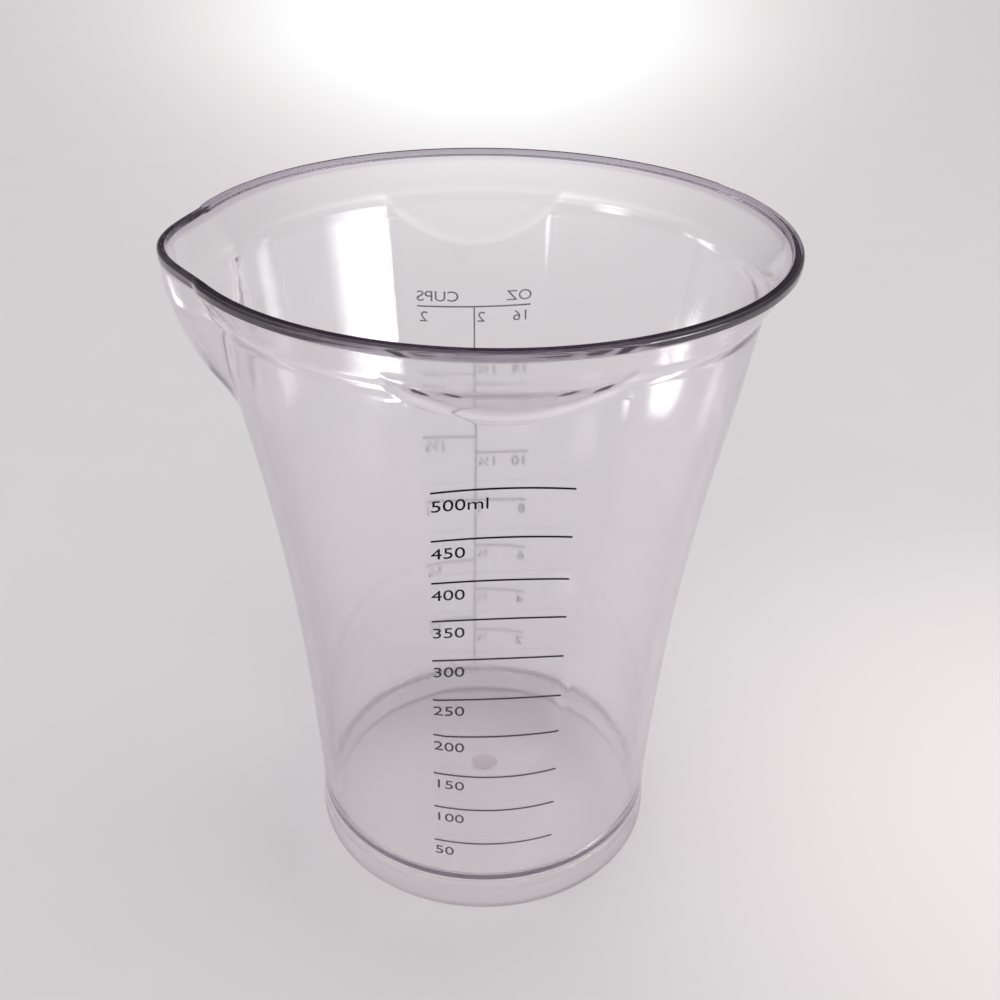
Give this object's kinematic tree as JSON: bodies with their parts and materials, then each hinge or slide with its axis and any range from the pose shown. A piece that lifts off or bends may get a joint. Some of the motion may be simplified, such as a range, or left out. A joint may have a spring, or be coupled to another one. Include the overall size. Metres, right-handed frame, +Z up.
{
  "type": "measuring beaker",
  "caption": "Clear plastic measuring beaker with a flared wall, two pressed-in scale panels, a hollow foot, a flat rim and a small pouring spout.",
  "frame": {"origin": "on the table, under the middle of the whole outline seen from above, with the spout counted", "axes": "+Z up along the cup's axis, -Y out of the panel with the millilitre marks, -X close to the spout, which points 6 degrees to the front of it"},
  "size_m": [0.118, 0.1154, 0.14],
  "materials": {
    "clear_plastic": "clear, polished",
    "print_ink": "matt black print"
  },
  "bodies": {
    "root": {"beaker_body": "clear_plastic", "ml_mark_050": "print_ink", "ml_mark_100": "print_ink", "ml_mark_150": "print_ink", "ml_mark_200": "print_ink", "ml_mark_250": "print_ink", "ml_mark_300": "print_ink", "ml_mark_350": "print_ink", "ml_mark_400": "print_ink", "ml_mark_450": "print_ink", "ml_mark_500": "print_ink", "cup_scale_spine": "print_ink", "cup_scale_top_line": "print_ink", "cup_third_mark_1": "print_ink", "cup_third_mark_2": "print_ink", "cup_third_mark_3": "print_ink", "cup_third_mark_4": "print_ink", "cup_third_mark_5": "print_ink", "cup_quarter_mark_1": "print_ink", "cup_quarter_mark_2": "print_ink", "cup_quarter_mark_3": "print_ink", "cup_quarter_mark_4": "print_ink", "cup_quarter_mark_5": "print_ink", "cup_quarter_mark_6": "print_ink", "cup_quarter_mark_7": "print_ink"}
  },
  "joints": []
}
